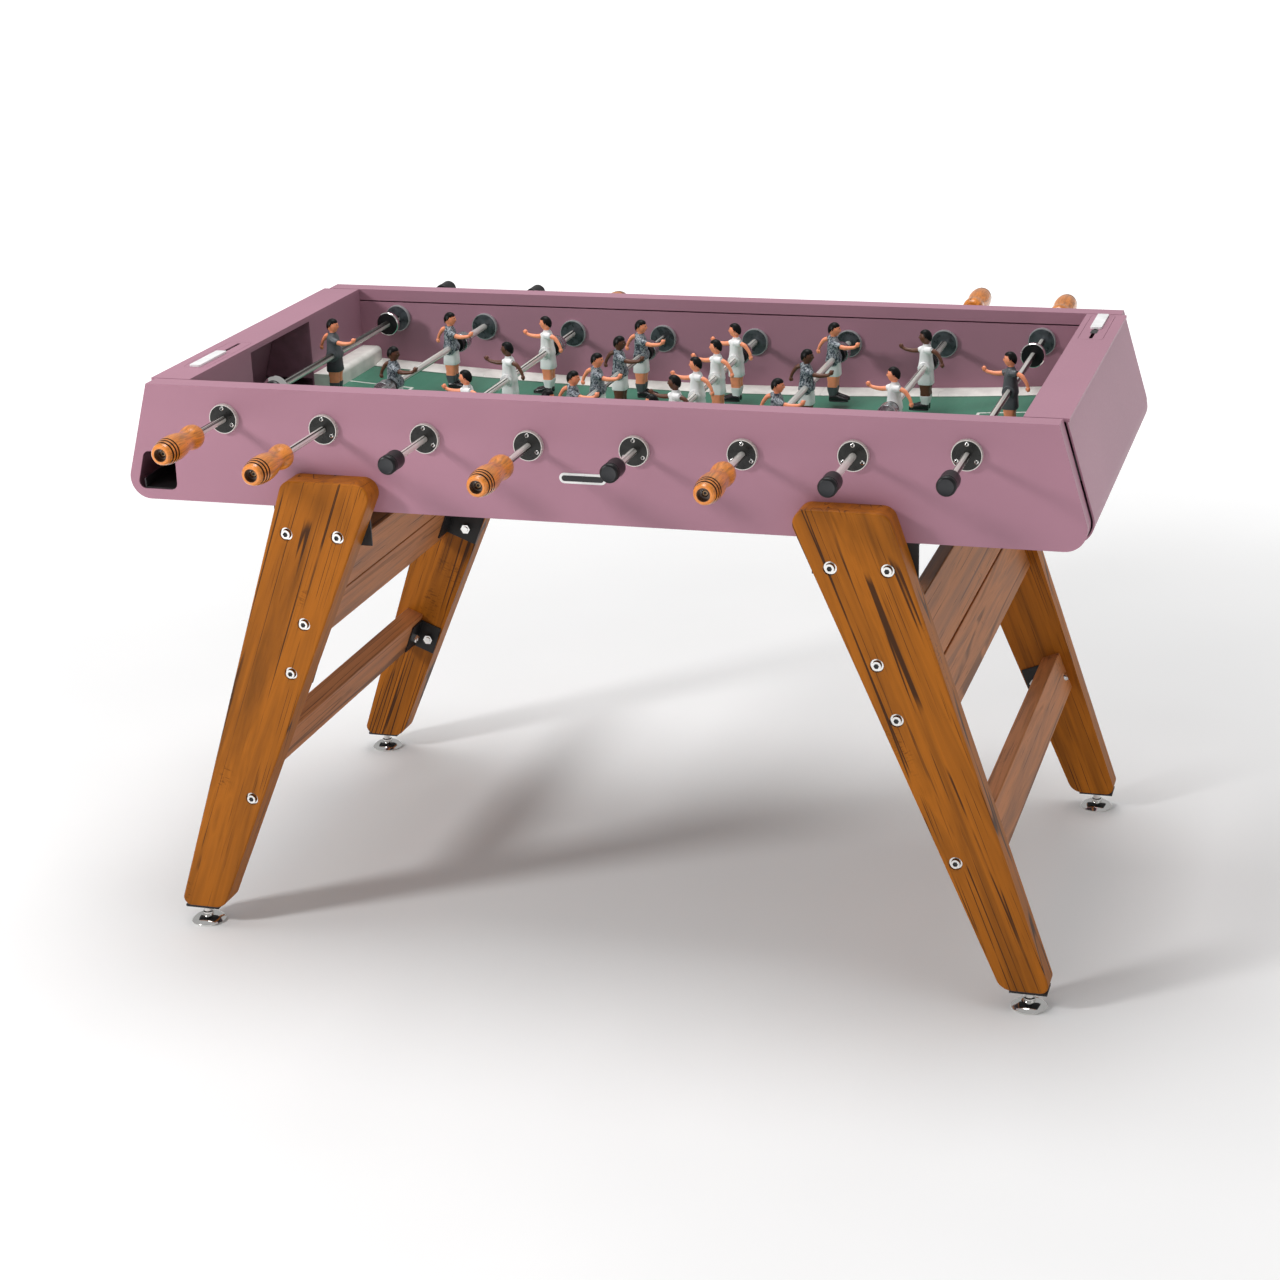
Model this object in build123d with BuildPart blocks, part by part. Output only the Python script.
from build123d import *
import math
import os

# Foosball table: a folded-steel cabinet on four splayed timber legs, with eight rods of figures.
#
# Frame: +X runs from goal to goal, +Y from the front side to the back side, +Z up. Everything is
# drawn about the middle of the playfield, at floor height; save() then moves it along Y, so that
# the origin lies under the middle of the whole object, handles included. All sizes are millimetres.
# side = -1 is the front side of the table and +1 the back; end = -1 is the left end and +1 the right.

SIDES = (-1, 1)
ENDS = (-1, 1)

# ---------------------------------------------------------------- driving dimensions

# Playfield and rods: both follow one shallow arc that rises to the goals.
ARC_RADIUS = 8711.0
FIELD_Z = 751.0            # top of the playfield at the middle
FIELD_THICKNESS = 15.0
FIELD_HALF_LENGTH = 642.0
ROD_Z = 832.4              # axis of a rod at the middle
ROD_PITCH = 163.0
ROD_RADIUS = 5.5
ROD_NUMBERS = range(1, 9)

# Cabinet of folded sheet steel.
SHEET = 2.5
TOP_Z = 899.2
BOTTOM_Z = 717.0
PANEL_Y = 367.8            # outer face of a side panel
RIM_WIDTH = 34.0           # width of a side panel's top return
RIM_LIP_Z = 880.0          # lower edge of the lip that hangs from the rim
PANEL_HALF_TOP = 698.0
END_SLOPE = 0.306          # the ends lean outwards by this much per mm of drop
PANEL_CORNER_RADIUS = 32.0
INNER_WALL_Y = 331.3       # playfield face of the inner side walls
INNER_WALL_TOP_Z = 878.0
INNER_WALL_SHEET = 2.0
COVER_HALF_WIDTH = 330.8
COVER_RIM_X = 707.0
COVER_RIM_THICKNESS = 5.0
COVER_SLANT_TOP_X = 704.5
GOAL_HALF_WIDTH = 115.0
GOAL_TOP_Z = 890.0
PAN_HALF_LENGTH = 705.0

# Bearings of the rods.
FLANGE_RADIUS = 23.0
OUTER_FLANGE_THICKNESS = 7.0
INNER_FLANGE_THICKNESS = 6.0
BUSH_RADIUS = 12.0
BUSH_HOLE_RADIUS = 13.0
BORE_RADIUS = 5.58
SCREW_CIRCLE_RADIUS = 16.5
SCREW_RADIUS = 2.0
SCREW_HOLE_RADIUS = 2.2
SCREW_HEAD_RADIUS = 3.6
SCREW_LENGTH = 11.0

# Legs and stretchers.
PLANK_THICKNESS = 44.0
LEG_TOP_Z = 771.0
LEG_BOTTOM_Z = 34.5
LEAN = 0.396               # sideways run of a leg's centre line per mm of height
LEG_BOLTS = [(382.0, 686.0), (466.0, 687.0), (451.0, 542.5), (481.0, 459.5), (571.5, 238.4)]
STRETCHER_THICKNESS = 32.0
UPPER_STRETCHER = (527.0, 440.0)    # lower inner edge of the upper stretcher, x and z
UPPER_BOARDS = [(0.0, 76.0), (78.5, 170.0)]
LOWER_STRETCHER = (606.7, 221.2)
LOWER_BOARD = (0.0, 68.0)
CROSS_BOLT_Y = 345.8                # the bolt through each end of a lower stretcher
CROSS_BOLT_RISE = 29.0              # its height above the board's lower edge, along the leg
BRACKET_SHEET = 3.0
BOLT_RADIUS = 5.0
BOLT_HOLE_RADIUS = 5.2
BOLT_HEAD_RADIUS = 7.8
COUNTERBORE_RADIUS = 10.5
COUNTERBORE_DEPTH = 5.0
FOOT_X = 685.0
FOOT_Y = 389.8
FOOT_PLATE_THICKNESS = 4.0
FOOT_STEM_RADIUS = 5.0

# What slides and turns with each rod: places are along Y from the middle of the rod's figures.
HUB_LENGTH = 34.0
HUB_RADIUS = 15.5
HUB_RUBBER_RADIUS = 13.0
HUB_RUBBER_LENGTH = 12.0
HANDLE_LENGTH = 115.0
CAP_LENGTH = 40.0
CAP_RADIUS = 14.2
FIT_GAP = 0.05             # radial clearance of what is pushed on to a rod

FIVE = {"figures": [-238.0, -119.0, 0.0, 119.0, 238.0], "hub": 288.8, "handle": 440.0, "cap": 418.0}
THREE = {"figures": [-190.0, 0.0, 190.0], "hub": 247.0, "handle": 494.0, "cap": 482.0}
TWO = {"figures": [-126.0, 126.0], "hub": 181.8, "handle": 552.0, "cap": 536.5}
GOALIE = {"figures": [0.0], "hub": 249.0, "handle": 517.0, "cap": 493.0}

# Each rod: its figures, the side its handle is on, and how far it is slid along Y at rest.
# Handles at the front belong to the team that faces +X, those at the back to the other.
RODS = {
    1: (GOALIE, -1, 51.0),
    2: (TWO, -1, 41.5),
    3: (THREE, 1, 0.0),
    4: (FIVE, -1, -36.0),
    5: (FIVE, 1, -36.0),
    6: (THREE, -1, 30.0),
    7: (TWO, 1, 39.5),
    8: (GOALIE, 1, 0.0),
}

# Score counters let into the rims of the end covers: y range of each insert.
INSERT_X = (651.0, 690.5)
INSERTS = {-1: (-258.0, -85.0), 1: (150.0, 323.0)}
TAG_LENGTH = 98.0
TAG_WIDTH = 18.0

# The handles reach furthest along Y, and the middle between them is where the origin goes.
handle_ends = [side * (layout["handle"] + HANDLE_LENGTH) + shift for layout, side, shift in RODS.values()]
ORIGIN_Y = (min(handle_ends) + max(handle_ends)) / 2

os.makedirs("parts", exist_ok=True)


# ---------------------------------------------------------------- helpers

def save(piece, name):
    """Move a finished piece to the origin's place, label it and write it as its own STEP file."""
    placed = piece.part.moved(Location((0, -ORIGIN_Y, 0)))
    placed.label = name
    export_step(placed, "parts/" + name + ".step")


def rise(x):
    """Height of the common arc above its lowest point, at x."""
    return ARC_RADIUS - math.sqrt(ARC_RADIUS ** 2 - x ** 2)


def rod_x(number):
    return (number - (len(ROD_NUMBERS) + 1) / 2) * ROD_PITCH


def rod_z(number):
    return ROD_Z + rise(rod_x(number))


def side_plane(side, distance):
    """Upright plane that faces away from the table; its local x is world x times -side."""
    return Plane(origin=(0, side * distance, 0), x_dir=(-side, 0, 0), z_dir=(0, side, 0))


def rod_points(side):
    """Rod axes on a side plane."""
    return [(-side * rod_x(n), rod_z(n)) for n in ROD_NUMBERS]


def screw_points(side):
    """Three screws around each rod on a side plane, one of them at the top."""
    points = []
    for x, z in rod_points(side):
        for angle in (90, 210, 330):
            turn = math.radians(angle)
            points.append((x + SCREW_CIRCLE_RADIUS * math.cos(turn), z + SCREW_CIRCLE_RADIUS * math.sin(turn)))
    return points


def slanted_end(z):
    """Half length of the side panels at height z."""
    return PANEL_HALF_TOP + END_SLOPE * (TOP_Z - z)


LEAN_ANGLE = math.atan(LEAN)
LEAN_COS = math.cos(LEAN_ANGLE)
LEAN_SIN = math.sin(LEAN_ANGLE)


def leaning_plane(end, corner, distance=0.0):
    """Cross-section plane of a stretcher: local x leads outwards, local y up along the leg."""
    x, z = corner
    return Plane(
        origin=(end * x, distance, z),
        x_dir=(end * LEAN_COS, 0, LEAN_SIN),
        z_dir=(0, -end, 0),
    )


def through_plane(end, corner, distance):
    """Plane on a stretcher's inner face, facing outwards; local y leads up along the leg."""
    x, z = corner
    return Plane(
        origin=(end * x, distance, z),
        x_dir=(0, end, 0),
        z_dir=(end * LEAN_COS, 0, LEAN_SIN),
    )


def rod_plane(number, side, distance):
    """Plane through a rod's axis: local x leads outwards along the rod, local y up."""
    return Plane(
        origin=(rod_x(number), distance, rod_z(number)),
        x_dir=(0, side, 0),
        z_dir=(side, 0, 0),
    )


def rod_axis(number, side=1):
    return Axis((rod_x(number), 0, rod_z(number)), (0, side, 0))


# ---------------------------------------------------------------- cabinet

OUTLET = [(-732.0, 733.0), (-663.8, 733.0), (-662.0, 793.0), (-714.5, 793.0)]
OUTLET_CORNER_RADIUS = 11.0


def side_panel(side):
    """Deep folded tray with a rim, slanted end returns and a rounded foot at each end."""
    half_bottom = slanted_end(BOTTOM_Z)
    with BuildPart() as panel:
        with BuildSketch(side_plane(side, PANEL_Y)) as outline:
            with BuildLine():
                Polyline(
                    (-half_bottom, BOTTOM_Z),
                    (half_bottom, BOTTOM_Z),
                    (PANEL_HALF_TOP, TOP_Z),
                    (-PANEL_HALF_TOP, TOP_Z),
                    close=True,
                )
            make_face()
            fillet(outline.vertices().sort_by(Axis.Y)[:2], PANEL_CORNER_RADIUS)
        extrude(amount=-RIM_WIDTH)
        offset(amount=-SHEET, openings=panel.faces().sort_by(Axis.Y)[0 if side > 0 else -1])
        with BuildSketch(side_plane(side, PANEL_Y - RIM_WIDTH)):
            with Locations((0, (RIM_LIP_Z + TOP_Z - 1) / 2)):
                Rectangle(2 * PANEL_HALF_TOP - 6, TOP_Z - 1 - RIM_LIP_Z)
        extrude(amount=SHEET)
        with BuildSketch(side_plane(side, PANEL_Y + 1)) as openings:
            with Locations(*rod_points(side)):
                Circle(BUSH_HOLE_RADIUS)
            with Locations(*screw_points(side)):
                Circle(SCREW_HOLE_RADIUS)
        extrude(amount=-2 * SHEET, mode=Mode.SUBTRACT)
        with BuildSketch(side_plane(side, PANEL_Y + 1)) as outlet:
            with BuildLine():
                Polyline(*OUTLET, close=True)
            make_face()
            fillet(outlet.vertices(), OUTLET_CORNER_RADIUS)
        extrude(amount=-2 * SHEET, mode=Mode.SUBTRACT)
    return panel


save(side_panel(-1), "front_side_panel")
save(side_panel(1), "back_side_panel")

PAN_Z = BOTTOM_Z + SHEET
PAN_TOP_Z = PAN_Z + SHEET

# Inner side walls: the sheets that the balls bounce off, one along each side.
with BuildPart() as inner_side_walls:
    for side in SIDES:
        with BuildSketch(side_plane(side, INNER_WALL_Y)):
            with Locations((0, (PAN_TOP_Z + INNER_WALL_TOP_Z) / 2)):
                Rectangle(2 * FIELD_HALF_LENGTH, INNER_WALL_TOP_Z - PAN_TOP_Z)
            with Locations(*rod_points(side)):
                Circle(BUSH_HOLE_RADIUS, mode=Mode.SUBTRACT)
        extrude(amount=INNER_WALL_SHEET)
save(inner_side_walls, "inner_side_walls")


def end_cover(end):
    """Rim, slanted outer plate and bottom return of one end, with a cut-out for the score insert."""
    slant_foot = COVER_SLANT_TOP_X + END_SLOPE * (TOP_Z - COVER_RIM_THICKNESS - BOTTOM_Z)
    rim_under = TOP_Z - COVER_RIM_THICKNESS
    outline = [
        (FIELD_HALF_LENGTH, TOP_Z),
        (COVER_RIM_X, TOP_Z),
        (COVER_RIM_X, rim_under),
        (COVER_SLANT_TOP_X, rim_under),
        (slant_foot, BOTTOM_Z),
        (690.0, BOTTOM_Z),
        (690.0, PAN_Z),
        (slant_foot - SHEET - 0.9, PAN_Z),
        (COVER_SLANT_TOP_X - SHEET - 0.1, rim_under),
        (FIELD_HALF_LENGTH, rim_under),
    ]
    insert_low, insert_high = INSERTS[end]
    with BuildPart() as cover:
        with BuildSketch(Plane.XZ) as profile:
            with BuildLine():
                Polyline(*[(end * x, z) for x, z in outline], close=True)
            make_face()
            outer_corner = (end * slant_foot, BOTTOM_Z)
            fillet(profile.vertices().sort_by_distance(outer_corner)[0], PANEL_CORNER_RADIUS)
            inner_corner = (end * (slant_foot - SHEET - 0.9), PAN_Z)
            fillet(profile.vertices().sort_by_distance(inner_corner)[0], PANEL_CORNER_RADIUS - SHEET)
        extrude(amount=COVER_HALF_WIDTH, both=True)
        with BuildSketch(Plane.XY.offset(TOP_Z)):
            with Locations((end * sum(INSERT_X) / 2, (insert_low + insert_high) / 2)):
                RectangleRounded(INSERT_X[1] - INSERT_X[0], insert_high - insert_low, 8)
        extrude(amount=-COVER_RIM_THICKNESS, mode=Mode.SUBTRACT)
    return cover


save(end_cover(-1), "left_end_cover")
save(end_cover(1), "right_end_cover")

# Inner end walls: each stands at the goal line and has the goal mouth cut out of it.
GOAL_SILL_Z = FIELD_Z + rise(FIELD_HALF_LENGTH)
with BuildPart() as inner_end_walls:
    for end in ENDS:
        with BuildSketch(Plane.YZ.offset(end * (FIELD_HALF_LENGTH + SHEET / 2))):
            with Locations((0, (PAN_TOP_Z + TOP_Z - COVER_RIM_THICKNESS) / 2)):
                Rectangle(2 * (INNER_WALL_Y + INNER_WALL_SHEET), TOP_Z - COVER_RIM_THICKNESS - PAN_TOP_Z)
            with Locations((0, (GOAL_SILL_Z + GOAL_TOP_Z) / 2)):
                Rectangle(2 * GOAL_HALF_WIDTH, GOAL_TOP_Z - GOAL_SILL_Z, mode=Mode.SUBTRACT)
        extrude(amount=SHEET / 2, both=True)
save(inner_end_walls, "inner_end_walls")

# Playfield: a board bent to the arc, so that a dead ball rolls back to the middle.
with BuildPart() as playfield:
    with BuildSketch(Plane.XZ):
        with BuildLine():
            left_end = (-FIELD_HALF_LENGTH, GOAL_SILL_Z)
            right_end = (FIELD_HALF_LENGTH, GOAL_SILL_Z)
            left_foot = (-FIELD_HALF_LENGTH, GOAL_SILL_Z - FIELD_THICKNESS)
            right_foot = (FIELD_HALF_LENGTH, GOAL_SILL_Z - FIELD_THICKNESS)
            ThreePointArc(left_end, (0, FIELD_Z), right_end)
            Line(right_end, right_foot)
            ThreePointArc(right_foot, (0, FIELD_Z - FIELD_THICKNESS), left_foot)
            Line(left_foot, left_end)
        make_face()
    extrude(amount=INNER_WALL_Y, both=True)
save(playfield, "playfield")

# Field borders: a sloped bank along each side wall and a raised block in each corner.
BANK_WIDTH = 36.3
BANK_RISE = 6.0
BANK_TOE = 0.8
BANK_HALF_LENGTH = 607.0
BANK_LENGTHS = 3           # butted lengths in each half of a bank
BANK_JOINT = 0.3           # gap between two of them
BLOCK_X = 607.2
BLOCK_TOP_Z = 800.0
BLOCK_NOSE_RADIUS = 9.0

with BuildPart() as field_borders:
    arc_centre = Axis((0, 0, FIELD_Z + ARC_RADIUS), (0, 1, 0))
    length_turn = math.degrees(math.asin(BANK_HALF_LENGTH / ARC_RADIUS)) / BANK_LENGTHS
    joint_turn = math.degrees(BANK_JOINT / ARC_RADIUS)
    for side in SIDES:
        with BuildPart(mode=Mode.PRIVATE) as bank_length:
            with BuildSketch(Plane.YZ):
                with BuildLine():
                    Polyline(
                        (side * INNER_WALL_Y, FIELD_Z),
                        (side * INNER_WALL_Y, FIELD_Z + BANK_RISE),
                        (side * (INNER_WALL_Y - BANK_WIDTH), FIELD_Z + BANK_TOE),
                        (side * (INNER_WALL_Y - BANK_WIDTH), FIELD_Z),
                        close=True,
                    )
                make_face()
            revolve(axis=arc_centre, revolution_arc=length_turn - joint_turn)
        for index in range(BANK_LENGTHS):
            add(bank_length.part.rotate(arc_centre, index * length_turn + joint_turn / 2))
    mirror(about=Plane.YZ)
    for end in ENDS:
        for side in SIDES:
            with BuildSketch(Plane.XZ.offset(-side * INNER_WALL_Y)) as block_outline:
                with BuildLine():
                    Polyline(
                        (end * BLOCK_X, FIELD_Z + rise(BLOCK_X)),
                        (end * BLOCK_X, BLOCK_TOP_Z),
                        (end * FIELD_HALF_LENGTH, BLOCK_TOP_Z),
                        (end * FIELD_HALF_LENGTH, GOAL_SILL_Z),
                        close=True,
                    )
                make_face()
                nose = (end * BLOCK_X, BLOCK_TOP_Z)
                fillet(block_outline.vertices().sort_by_distance(nose)[0], BLOCK_NOSE_RADIUS)
            extrude(amount=side * (INNER_WALL_Y - GOAL_HALF_WIDTH))
save(field_borders, "field_borders")

# Base pan: the floor of the cabinet, and the upright strips across it that carry the playfield.
RIB_PLACES = [-570.0, -285.0, 0.0, 285.0, 570.0]
RIB_THICKNESS = 3.0

with BuildPart() as base_pan:
    with BuildSketch(Plane.XY.offset(PAN_Z)):
        Rectangle(2 * PAN_HALF_LENGTH, 2 * (PANEL_Y - SHEET - 0.3))
    extrude(amount=SHEET)
    for place in RIB_PLACES:
        low_side = max(abs(place) - RIB_THICKNESS / 2, 0)
        rib_foot = PAN_TOP_Z + FIT_GAP
        rib_top = FIELD_Z - FIELD_THICKNESS + rise(low_side)
        with BuildSketch(Plane.XY.offset(rib_foot)):
            with Locations((place, 0)):
                Rectangle(RIB_THICKNESS, 2 * INNER_WALL_Y - 20)
        extrude(amount=rib_top - rib_foot)
save(base_pan, "base_pan")

# Ball returns: goal cheeks and, behind each goal, a sloped trough that leads to the ball outlet.
TROUGH_X = 690.0
TROUGH_INNER_WIDTH = 56.0
TROUGH_WALL = 2.0
TROUGH_LIP = 14.0
TROUGH_HIGH_Z = 749.0
TROUGH_LOW_Z = 735.0
TROUGH_START_Y = 117.0
TROUGH_END_Y = PANEL_Y - SHEET - 0.8
CHEEK_BOTTOM_Z = 792.0
CHEEK_TOP_Z = 892.4         # clear of the score inserts, which hang under the rim
CHEEK_GAP = 0.6

with BuildPart() as ball_returns:
    trough_run = TROUGH_START_Y + TROUGH_END_Y
    trough_drop = TROUGH_HIGH_Z - TROUGH_LOW_Z
    for end in ENDS:
        # The left trough runs to the front of the table and the right one to the back.
        way_out = end
        trough_plane = Plane(
            origin=(end * TROUGH_X, -way_out * TROUGH_START_Y, TROUGH_HIGH_Z),
            x_dir=(-way_out, 0, 0),
            z_dir=(0, way_out * trough_run, -trough_drop),
        )
        half = TROUGH_INNER_WIDTH / 2
        with BuildSketch(trough_plane):
            with BuildLine():
                Polyline(
                    (-half - TROUGH_WALL, -TROUGH_WALL),
                    (half + TROUGH_WALL, -TROUGH_WALL),
                    (half + TROUGH_WALL, TROUGH_LIP),
                    (half, TROUGH_LIP),
                    (half, 0),
                    (-half, 0),
                    (-half, TROUGH_LIP),
                    (-half - TROUGH_WALL, TROUGH_LIP),
                    close=True,
                )
            make_face()
        extrude(amount=math.hypot(trough_run, trough_drop))
        for from_start in (40.0, 400.0):
            post_z = TROUGH_HIGH_Z - trough_drop * from_start / trough_run - 1
            with BuildSketch(Plane.XY.offset(PAN_TOP_Z)):
                with Locations((end * (TROUGH_X - 6), way_out * (from_start - TROUGH_START_Y))):
                    Rectangle(40, 3)
            extrude(amount=post_z - PAN_TOP_Z)
        cheek_top_x = COVER_SLANT_TOP_X - SHEET - CHEEK_GAP
        cheek_low_x = cheek_top_x + END_SLOPE * (CHEEK_TOP_Z - CHEEK_BOTTOM_Z)
        for side in SIDES:
            with BuildSketch(Plane.XZ.offset(-side * GOAL_HALF_WIDTH)):
                with BuildLine():
                    Polyline(
                        (end * (FIELD_HALF_LENGTH + SHEET), CHEEK_BOTTOM_Z),
                        (end * (FIELD_HALF_LENGTH + SHEET), CHEEK_TOP_Z),
                        (end * cheek_top_x, CHEEK_TOP_Z),
                        (end * cheek_low_x, CHEEK_BOTTOM_Z),
                        close=True,
                    )
                make_face()
            extrude(amount=-side * TROUGH_WALL)
save(ball_returns, "ball_returns")

# ---------------------------------------------------------------- bearings

with BuildPart() as outer_bearings:
    for side in SIDES:
        with BuildSketch(side_plane(side, PANEL_Y)):
            with Locations(*rod_points(side)):
                Circle(FLANGE_RADIUS)
        extrude(amount=OUTER_FLANGE_THICKNESS, taper=6)
        with BuildSketch(side_plane(side, INNER_WALL_Y)):
            with Locations(*rod_points(side)):
                Circle(BUSH_RADIUS)
        extrude(amount=PANEL_Y - INNER_WALL_Y)
        with BuildSketch(side_plane(side, PANEL_Y + OUTER_FLANGE_THICKNESS)):
            with Locations(*rod_points(side)):
                Circle(BORE_RADIUS)
        extrude(amount=-(PANEL_Y + OUTER_FLANGE_THICKNESS - INNER_WALL_Y), mode=Mode.SUBTRACT)
        with BuildSketch(side_plane(side, PANEL_Y + OUTER_FLANGE_THICKNESS)):
            with Locations(*screw_points(side)):
                Circle(SCREW_HOLE_RADIUS)
        extrude(amount=-OUTER_FLANGE_THICKNESS, mode=Mode.SUBTRACT)
save(outer_bearings, "outer_bearings")

with BuildPart() as inner_bearings:
    for side in SIDES:
        with BuildSketch(side_plane(side, INNER_WALL_Y)):
            with Locations(*rod_points(side)):
                Circle(FLANGE_RADIUS)
        extrude(amount=-INNER_FLANGE_THICKNESS, taper=6)
        with BuildSketch(side_plane(side, INNER_WALL_Y)):
            with Locations(*rod_points(side)):
                Circle(BORE_RADIUS)
        extrude(amount=-INNER_FLANGE_THICKNESS, mode=Mode.SUBTRACT)
save(inner_bearings, "inner_bearings")

with BuildPart() as bearing_screws:
    for side in SIDES:
        with BuildSketch(side_plane(side, PANEL_Y + OUTER_FLANGE_THICKNESS)):
            with Locations(*screw_points(side)):
                Circle(SCREW_RADIUS)
        extrude(amount=-SCREW_LENGTH)
        with BuildSketch(side_plane(side, PANEL_Y + OUTER_FLANGE_THICKNESS)):
            with Locations(*screw_points(side)):
                Circle(SCREW_HEAD_RADIUS)
        extrude(amount=2.2, taper=24)
save(bearing_screws, "bearing_screws")

# ---------------------------------------------------------------- legs

LEG_OUTER = (733.0, 0.346)     # outer edge of a leg: x at the floor, and run per mm of height
LEG_INNER = (659.0, 0.4466)
LEG_NAMES = {
    (-1, -1): "leg_front_left",
    (1, -1): "leg_front_right",
    (-1, 1): "leg_back_left",
    (1, 1): "leg_back_right",
}
LEG_TOP_RADIUS = 22.0
LEG_FOOT_OUTER_RADIUS = 13.0
LEG_FOOT_INNER_RADIUS = 26.0
LEG_EDGE_RADIUS = 3.0
STEM_HOLE_DEPTH = 32.0


def leg_edge(edge, z):
    return edge[0] - edge[1] * z


def leg(end, side):
    """Broad plank that leans inwards to the cabinet, with counterbored bolt holes."""
    turn = -side * end
    corners = [
        (leg_edge(LEG_INNER, LEG_TOP_Z), LEG_TOP_Z, LEG_TOP_RADIUS),
        (leg_edge(LEG_OUTER, LEG_TOP_Z), LEG_TOP_Z, LEG_TOP_RADIUS),
        (leg_edge(LEG_OUTER, LEG_BOTTOM_Z), LEG_BOTTOM_Z, LEG_FOOT_OUTER_RADIUS),
        (leg_edge(LEG_INNER, LEG_BOTTOM_Z), LEG_BOTTOM_Z, LEG_FOOT_INNER_RADIUS),
    ]
    with BuildPart() as plank:
        with BuildSketch(side_plane(side, PANEL_Y)) as outline:
            with BuildLine():
                Polyline(*[(turn * x, z) for x, z, _ in corners], close=True)
            make_face()
            for x, z, radius in corners:
                fillet(outline.vertices().sort_by_distance((turn * x, z))[0], radius)
        extrude(amount=PLANK_THICKNESS)
        outer_face = plank.faces().sort_by(Axis.Y)[-1 if side > 0 else 0]
        fillet(outer_face.edges(), LEG_EDGE_RADIUS)
        with Locations(side_plane(side, PANEL_Y + PLANK_THICKNESS)):
            with Locations(*[(turn * x, z) for x, z in LEG_BOLTS]):
                CounterBoreHole(
                    radius=BOLT_HOLE_RADIUS,
                    counter_bore_radius=COUNTERBORE_RADIUS,
                    counter_bore_depth=COUNTERBORE_DEPTH,
                    depth=PLANK_THICKNESS,
                )
        with BuildSketch(Plane.XY.offset(LEG_BOTTOM_Z)):
            with Locations((end * FOOT_X, side * FOOT_Y)):
                Circle(FOOT_STEM_RADIUS + 1.5)
        extrude(amount=STEM_HOLE_DEPTH, mode=Mode.SUBTRACT)
    return plank


for (end, side), leg_name in LEG_NAMES.items():
    save(leg(end, side), leg_name)

# Stretchers: boards from the front leg to the back leg at each end, leaning with the legs.
STRETCHER_EDGE_RADIUS = 2.0

with BuildPart() as leg_stretchers:
    for end in ENDS:
        boards = [(UPPER_STRETCHER, board) for board in UPPER_BOARDS] + [(LOWER_STRETCHER, LOWER_BOARD)]
        for corner, (low, high) in boards:
            with BuildSketch(leaning_plane(end, corner)) as board_outline:
                with Locations((STRETCHER_THICKNESS / 2, (low + high) / 2)):
                    Rectangle(STRETCHER_THICKNESS, high - low)
                fillet(board_outline.vertices(), STRETCHER_EDGE_RADIUS)
            extrude(amount=PANEL_Y, both=True)
        # Bolt holes of the lower stretcher, close to the legs.
        for side in SIDES:
            with BuildSketch(through_plane(end, LOWER_STRETCHER, side * CROSS_BOLT_Y)):
                with Locations((0, CROSS_BOLT_RISE)):
                    Circle(BOLT_HOLE_RADIUS)
            extrude(amount=STRETCHER_THICKNESS, mode=Mode.SUBTRACT)
save(leg_stretchers, "leg_stretchers")

# Brackets: steel angles under the cabinet, behind both stretchers, and a plate under each leg.
TOP_ANGLE_X = (345.0, 503.0)
TOP_ANGLE_DROP = 55.0
TOP_ANGLE_WIDTH = 46.0
UPPER_ANGLE = (60.0, 12.0, 146.0)     # flange width, and its low and high ends along the leg
LOWER_ANGLE = (42.0, 3.0, 57.0)
ANGLE_FLANGE = 44.0


STRETCHER_ANGLES = [(UPPER_STRETCHER, UPPER_ANGLE), (LOWER_STRETCHER, LOWER_ANGLE)]

with BuildPart() as leg_brackets:
    for end in ENDS:
        for side in SIDES:
            inner, outer = TOP_ANGLE_X
            top_middle = end * (inner + outer) / 2
            with BuildSketch(side_plane(side, PANEL_Y)):
                with Locations((-side * top_middle, BOTTOM_Z - TOP_ANGLE_DROP / 2)):
                    Rectangle(outer - inner, TOP_ANGLE_DROP)
            extrude(amount=-BRACKET_SHEET)
            with BuildSketch(Plane.XY.offset(BOTTOM_Z)):
                with Locations((top_middle, side * (PANEL_Y - TOP_ANGLE_WIDTH / 2))):
                    Rectangle(outer - inner, TOP_ANGLE_WIDTH)
            extrude(amount=-BRACKET_SHEET)
            # Angles between a leg's inner face and the inner face of each stretcher.
            inward = end * side
            for corner, (width, low, high) in STRETCHER_ANGLES:
                for flange_width, reach in ((width, BRACKET_SHEET), (BRACKET_SHEET, ANGLE_FLANGE)):
                    with BuildSketch(leaning_plane(end, corner, side * PANEL_Y)):
                        with Locations((-flange_width / 2, (low + high) / 2)):
                            Rectangle(flange_width, high - low)
                    extrude(amount=inward * reach)
            with BuildSketch(side_plane(side, PANEL_Y)):
                with Locations(*[(-side * end * x, z) for x, z in LEG_BOLTS]):
                    Circle(BOLT_HOLE_RADIUS)
            extrude(amount=-BRACKET_SHEET, mode=Mode.SUBTRACT)
            with BuildSketch(through_plane(end, LOWER_STRETCHER, side * CROSS_BOLT_Y)):
                with Locations((0, CROSS_BOLT_RISE)):
                    Circle(BOLT_HOLE_RADIUS)
            extrude(amount=-BRACKET_SHEET, mode=Mode.SUBTRACT)
            with BuildSketch(Plane.XY.offset(LEG_BOTTOM_Z)):
                with Locations((end * FOOT_X, side * FOOT_Y)):
                    Rectangle(58, 38)
                    Circle(FOOT_STEM_RADIUS + 0.5, mode=Mode.SUBTRACT)
            extrude(amount=-FOOT_PLATE_THICKNESS)
save(leg_brackets, "leg_brackets")

# Bolts: socket-head bolts with a washer and a nut, five through each leg and one through each
# end of the lower stretchers.
WASHER_THICKNESS = 1.5
BOLT_HEAD_HEIGHT = 6.0
SOCKET_RADIUS = 4.2
SOCKET_DEPTH = 4.0
NUT_RADIUS = 9.0
NUT_HEIGHT = 8.0

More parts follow.
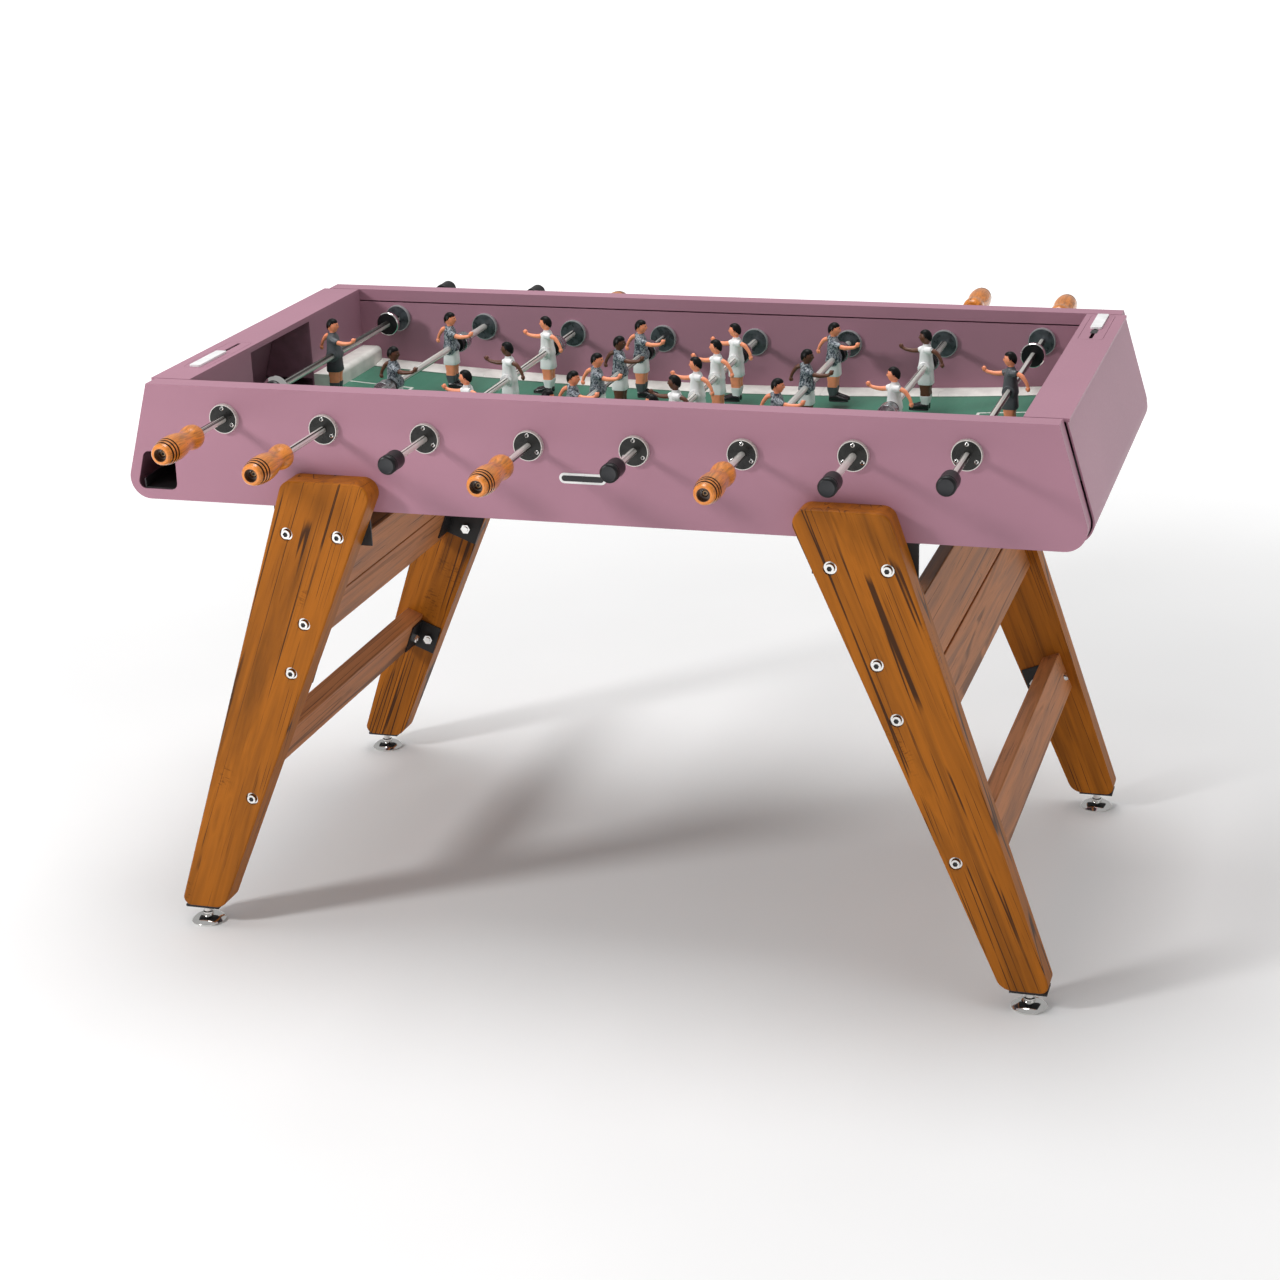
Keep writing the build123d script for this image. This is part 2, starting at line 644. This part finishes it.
with BuildPart() as leg_bolts:
    seat_y = PANEL_Y + PLANK_THICKNESS - COUNTERBORE_DEPTH
    back_y = PANEL_Y - BRACKET_SHEET
    for side in SIDES:
        places = [(turn * x, z) for turn in ENDS for x, z in LEG_BOLTS]
        with BuildSketch(side_plane(side, seat_y)):
            with Locations(*places):
                Circle(COUNTERBORE_RADIUS - 0.6)
        extrude(amount=WASHER_THICKNESS)
        with BuildSketch(side_plane(side, seat_y + WASHER_THICKNESS)):
            with Locations(*places):
                Circle(BOLT_HEAD_RADIUS)
        extrude(amount=BOLT_HEAD_HEIGHT, taper=8)
        with BuildSketch(side_plane(side, seat_y)):
            with Locations(*places):
                Circle(BOLT_RADIUS)
        extrude(amount=back_y - NUT_HEIGHT - 2 - seat_y)
        with BuildSketch(side_plane(side, back_y)):
            with Locations(*places):
                RegularPolygon(NUT_RADIUS, 6)
        extrude(amount=-NUT_HEIGHT)
        with BuildSketch(side_plane(side, seat_y + WASHER_THICKNESS + BOLT_HEAD_HEIGHT)):
            with Locations(*places):
                RegularPolygon(SOCKET_RADIUS, 6)
        extrude(amount=-SOCKET_DEPTH, mode=Mode.SUBTRACT)
    for end in ENDS:
        for side in SIDES:
            inner_face = through_plane(end, LOWER_STRETCHER, side * CROSS_BOLT_Y)
            with BuildSketch(inner_face.offset(STRETCHER_THICKNESS)):
                with Locations((0, CROSS_BOLT_RISE)):
                    Circle(BOLT_HEAD_RADIUS)
            extrude(amount=BOLT_HEAD_HEIGHT, taper=8)
            with BuildSketch(inner_face.offset(STRETCHER_THICKNESS)):
                with Locations((0, CROSS_BOLT_RISE)):
                    Circle(BOLT_RADIUS)
            extrude(amount=-(STRETCHER_THICKNESS + BRACKET_SHEET + NUT_HEIGHT + 2))
            with BuildSketch(inner_face.offset(-BRACKET_SHEET)):
                with Locations((0, CROSS_BOLT_RISE)):
                    RegularPolygon(NUT_RADIUS, 6)
            extrude(amount=-NUT_HEIGHT)
save(leg_bolts, "leg_bolts")

# Levelling feet: a domed disc on a threaded stem that turns up into the leg.
FOOT_NAMES = {
    (-1, -1): "foot_front_left",
    (1, -1): "foot_front_right",
    (-1, 1): "foot_back_left",
    (1, 1): "foot_back_right",
}
FOOT_RADIUS = 28.5
COLLAR_RADIUS = 9.0
STEM_TOP_Z = 60.0


def levelling_foot(end, side):
    place = (end * FOOT_X, side * FOOT_Y, 0)
    collar_top = LEG_BOTTOM_Z - FOOT_PLATE_THICKNESS - 0.1
    with BuildPart() as foot:
        with BuildSketch(Plane(origin=place, x_dir=(1, 0, 0), z_dir=(0, -1, 0))):
            with BuildLine():
                Line((0, 0), (FOOT_RADIUS - 1.5, 0))
                Line((FOOT_RADIUS - 1.5, 0), (FOOT_RADIUS, 3))
                ThreePointArc((FOOT_RADIUS, 3), (FOOT_RADIUS - 6.5, 8.6), (COLLAR_RADIUS, 12))
                Polyline(
                    (COLLAR_RADIUS, 12),
                    (COLLAR_RADIUS, 17),
                    (FOOT_STEM_RADIUS + 1.5, 18),
                    (FOOT_STEM_RADIUS + 1.5, collar_top),
                    (FOOT_STEM_RADIUS, collar_top),
                    (FOOT_STEM_RADIUS, STEM_TOP_Z),
                    (0, STEM_TOP_Z),
                    (0, 0),
                )
            make_face()
        revolve(axis=Axis(place, (0, 0, 1)))
    return foot


for (end, side), foot_name in FOOT_NAMES.items():
    save(levelling_foot(end, side), foot_name)

# ---------------------------------------------------------------- score counters and badge

INSERT_SHEET = 2.0
SLOT_WIDTH = 6.0
TAG_THICKNESS = 3.0
KEEPER_WIDTH = 12.0
TONGUE_LENGTH = 60.0
INSERT_CLEARANCE = 0.6

with BuildPart() as score_inserts:
    for end in ENDS:
        insert_low, insert_high = INSERTS[end]
        middle = (end * sum(INSERT_X) / 2, (insert_low + insert_high) / 2)
        width = INSERT_X[1] - INSERT_X[0]
        length = insert_high - insert_low
        # A tray: its face lies flush with the rim and its flange hangs under the cut-out.
        with BuildSketch(Plane.XY.offset(TOP_Z - INSERT_SHEET)):
            with Locations(middle):
                RectangleRounded(width - 2 * INSERT_CLEARANCE, length - 2 * INSERT_CLEARANCE, 7.4)
                SlotOverall(length - 16, SLOT_WIDTH, rotation=90, mode=Mode.SUBTRACT)
        extrude(amount=INSERT_SHEET)
        with BuildSketch(Plane.XY.offset(TOP_Z - INSERT_SHEET)):
            with Locations(middle):
                RectangleRounded(width - 2 * INSERT_CLEARANCE, length - 2 * INSERT_CLEARANCE, 7.4)
                RectangleRounded(width - 8, length - 8, 4, mode=Mode.SUBTRACT)
        extrude(amount=-(COVER_RIM_THICKNESS - INSERT_SHEET))
        with BuildSketch(Plane.XY.offset(TOP_Z - COVER_RIM_THICKNESS)):
            with Locations(middle):
                RectangleRounded(width + 6, length + 10, 8)
                RectangleRounded(width - 8, length - 8, 4, mode=Mode.SUBTRACT)
        extrude(amount=-1.5)
save(score_inserts, "score_inserts")


def score_slider(end):
    """Marker tag with a tongue through the insert's slot and a keeper beneath it."""
    insert_low, insert_high = INSERTS[end]
    if end < 0:
        middle_y = insert_low + 2 + TAG_LENGTH / 2
    else:
        middle_y = insert_high - 2 - TAG_LENGTH / 2
    middle = (end * sum(INSERT_X) / 2, middle_y)
    tongue_middle = (middle[0], middle_y - end * (TAG_LENGTH - TONGUE_LENGTH - 20) / 2)
    with BuildPart() as slider:
        with BuildSketch(Plane.XY.offset(TOP_Z + 0.3)):
            with Locations(middle):
                RectangleRounded(TAG_WIDTH, TAG_LENGTH, 3)
        extrude(amount=TAG_THICKNESS)
        with BuildSketch(Plane.XY.offset(TOP_Z + 1)):
            with Locations(tongue_middle):
                Rectangle(SLOT_WIDTH - 1, TONGUE_LENGTH)
        extrude(amount=-(1 + INSERT_SHEET + 1))
        with BuildSketch(Plane.XY.offset(TOP_Z - INSERT_SHEET - 0.3)):
            with Locations(tongue_middle):
                Rectangle(KEEPER_WIDTH, TONGUE_LENGTH)
        extrude(amount=-1.5)
    return slider


save(score_slider(-1), "score_slider_left")
save(score_slider(1), "score_slider_right")

BADGE_Z = 786.0
with BuildPart() as front_badge:
    with BuildSketch(side_plane(-1, PANEL_Y)):
        with Locations((0, BADGE_Z)):
            SlotOverall(73, 16)
    extrude(amount=1.5)
    fillet(front_badge.faces().sort_by(Axis.Y)[0].edges(), 0.7)
save(front_badge, "front_badge")

# ---------------------------------------------------------------- rods

ROD_END_IN_HANDLE = 12.0     # the rod stops this far short of the handle's outer end
ROD_END_IN_CAP = 16.0


def rod(number):
    """Steel rod from inside the handle to inside the end cap."""
    layout, side, shift = RODS[number]
    handle_end = side * (layout["handle"] + HANDLE_LENGTH - ROD_END_IN_HANDLE) + shift
    cap_end = -side * (layout["cap"] + CAP_LENGTH - ROD_END_IN_CAP) + shift
    with BuildPart() as bar:
        with BuildSketch(rod_section(number, cap_end)):
            Circle(ROD_RADIUS)
        extrude(amount=handle_end - cap_end)
    return bar


def rod_section(number, y):
    """Plane across a rod at y, facing +Y; local x is world x."""
    return Plane(origin=(rod_x(number), y, rod_z(number)), x_dir=(1, 0, 0), z_dir=(0, 1, 0))


# Handle outline: distance along the handle from its inner end, and radius.
HANDLE_CURVE = [(0, 12.5), (4, 16.6), (12, 18.4), (22, 17.6), (33, 15), (48, 16.4), (68, 19.4),
                (86, 19.6), (102, 17.8), (112, 15.2)]
HANDLE_GROOVES = [92.0, 99.0, 106.0]
GROOVE_WIDTH = 2.6
GROOVE_FLOOR_RADIUS = 14.6
END_RING_RADIUS = 13.0
END_RECESS_RADIUS = 9.5
END_RECESS_DEPTH = 8.0


def handle(number):
    """Turned hardwood grip with a bulb, a waist and burnt rings near its outer end."""
    layout, side, shift = RODS[number]
    bore = ROD_RADIUS + FIT_GAP
    with BuildPart() as grip:
        with BuildSketch(rod_plane(number, side, side * layout["handle"] + shift)):
            with BuildLine():
                Spline(*HANDLE_CURVE)
                Polyline(
                    HANDLE_CURVE[-1],
                    (HANDLE_LENGTH, END_RING_RADIUS),
                    (HANDLE_LENGTH, END_RECESS_RADIUS),
                    (HANDLE_LENGTH - END_RECESS_DEPTH, END_RECESS_RADIUS),
                    (HANDLE_LENGTH - END_RECESS_DEPTH, bore),
                    (0, bore),
                    HANDLE_CURVE[0],
                )
            make_face()
            for place in HANDLE_GROOVES:
                with Locations((place, GROOVE_FLOOR_RADIUS + 5)):
                    Rectangle(GROOVE_WIDTH, 10, mode=Mode.SUBTRACT)
        revolve(axis=rod_axis(number, side))
    return grip


def bumpers(number):
    """The round parts of a rod: a stop hub outside the figures at each side, and the end cap."""
    layout, side, shift = RODS[number]
    bore = ROD_RADIUS + FIT_GAP
    hub_outer = layout["hub"]
    goalkeeper = layout is GOALIE
    with BuildPart() as round_parts:
        for way in SIDES:
            with BuildSketch(rod_plane(number, way, shift)):
                with BuildLine():
                    if goalkeeper:
                        # A wide collar with a small nose that meets the bearing.
                        Polyline(
                            (hub_outer - 20, bore),
                            (hub_outer - 20, 20),
                            (hub_outer - 12, 20),
                            (hub_outer - 8, 15),
                            (hub_outer, 14),
                            (hub_outer, bore),
                            close=True,
                        )
                    else:
                        Polyline(
                            (hub_outer - HUB_LENGTH, bore),
                            (hub_outer - HUB_LENGTH, HUB_RUBBER_RADIUS),
                            (hub_outer - HUB_LENGTH + HUB_RUBBER_LENGTH, HUB_RUBBER_RADIUS),
                            (hub_outer - HUB_LENGTH + HUB_RUBBER_LENGTH, HUB_RADIUS),
                            (hub_outer, HUB_RADIUS),
                            (hub_outer, bore),
                            close=True,
                        )
                make_face()
            revolve(axis=rod_axis(number, way))
        with BuildSketch(rod_plane(number, -side, -side * layout["cap"] + shift)):
            with BuildLine():
                Polyline(
                    (0, bore),
                    (0, CAP_RADIUS - 1.5),
                    (1.5, CAP_RADIUS),
                    (CAP_LENGTH - 3, CAP_RADIUS),
                    (CAP_LENGTH, CAP_RADIUS - 3),
                    (CAP_LENGTH, 0),
                    (CAP_LENGTH - ROD_END_IN_CAP + 0.3, 0),
                    (CAP_LENGTH - ROD_END_IN_CAP + 0.3, bore),
                    close=True,
                )
            make_face()
        revolve(axis=rod_axis(number, -side))
    return round_parts


# Figure, seen from its right side and looking along +X, measured from the rod's axis: the trunk
# is one outline, and arms, head and boots are added to it.
# It sits a little back on the rod, so that the weight of a figure hangs straight below the axis.
TRUNK = [(-12.5, 30.0), (-8.5, 36.0), (5.5, 36.0), (10.5, 28.0), (12.0, -26.0), (8.5, -27.0),
         (7.5, -58.0), (-10.5, -58.0), (-12.5, -27.0), (-15.5, -26.0)]
TRUNK_HALF_WIDTH = 13.0
BOOT = (-7.0, 25.0, -69.5, -58.0)      # heel, toe, sole and top
BOOT_HALF_WIDTH = 5.2
BOOT_SPREAD = 7.0
HEAD_RADIUS = 11.0
HEAD_Z = 49.5
ARM_RADIUS = 3.6
RIGHT_HAND = (44.0, -17.0, 25.0)
RIGHT_SHOULDER = (2.0, -12.0, 24.0)
LEFT_HAND = (-31.0, 18.0, 8.0)
LEFT_ELBOW = (-20.0, 16.0, 28.0)
LEFT_SHOULDER = (-2.0, 12.0, 29.0)


def figures(number):
    """The moulded players of one rod, bored for the rod, all facing the other team's goal."""
    layout, side, shift = RODS[number]
    facing = -side
    axis_x = rod_x(number)
    axis_z = rod_z(number)

    with BuildPart() as team:
        for place in layout["figures"]:
            middle_y = place + shift

            def at(point):
                return (axis_x + facing * point[0], middle_y + facing * point[1], axis_z + point[2])

            section = Plane(origin=(axis_x, middle_y, axis_z), x_dir=(facing, 0, 0), z_dir=(0, -facing, 0))
            with BuildSketch(section):
                with BuildLine():
                    Polyline(*TRUNK, close=True)
                make_face()
            extrude(amount=TRUNK_HALF_WIDTH, both=True)
            heel, toe, sole, top = BOOT
            for foot_side in SIDES:
                boot_plane = Plane(
                    origin=at((0, foot_side * BOOT_SPREAD, 0)), x_dir=(facing, 0, 0), z_dir=(0, -facing, 0)
                )
                with BuildSketch(boot_plane):
                    with Locations(((heel + toe) / 2, (sole + top) / 2)):
                        RectangleRounded(toe - heel, top - sole, 3)
                extrude(amount=BOOT_HALF_WIDTH, both=True)
            with Locations(at((0, 0, HEAD_Z))):
                Sphere(HEAD_RADIUS)
            with Locations(at((0, 0, 36))):
                Cylinder(5.5, 14)
            limbs = [(RIGHT_SHOULDER, RIGHT_HAND), (LEFT_SHOULDER, LEFT_ELBOW), (LEFT_ELBOW, LEFT_HAND)]
            for start, finish in limbs:
                start_point = Vector(*at(start))
                finish_point = Vector(*at(finish))
                way = finish_point - start_point
                with BuildSketch(Plane(origin=start_point, z_dir=way)):
                    Circle(ARM_RADIUS)
                extrude(amount=way.length)
            with Locations(at(LEFT_ELBOW)):
                Sphere(ARM_RADIUS)
        length = layout["figures"][-1] - layout["figures"][0] + 4 * TRUNK_HALF_WIDTH
        with BuildSketch(rod_section(number, shift - length / 2)):
            Circle(ROD_RADIUS + FIT_GAP)
        extrude(amount=length, mode=Mode.SUBTRACT)
    return team


for number in ROD_NUMBERS:
    save(rod(number), "rod_" + str(number))
    save(handle(number), "handle_" + str(number))
    save(bumpers(number), "bumpers_" + str(number))
    save(figures(number), "players_" + str(number))
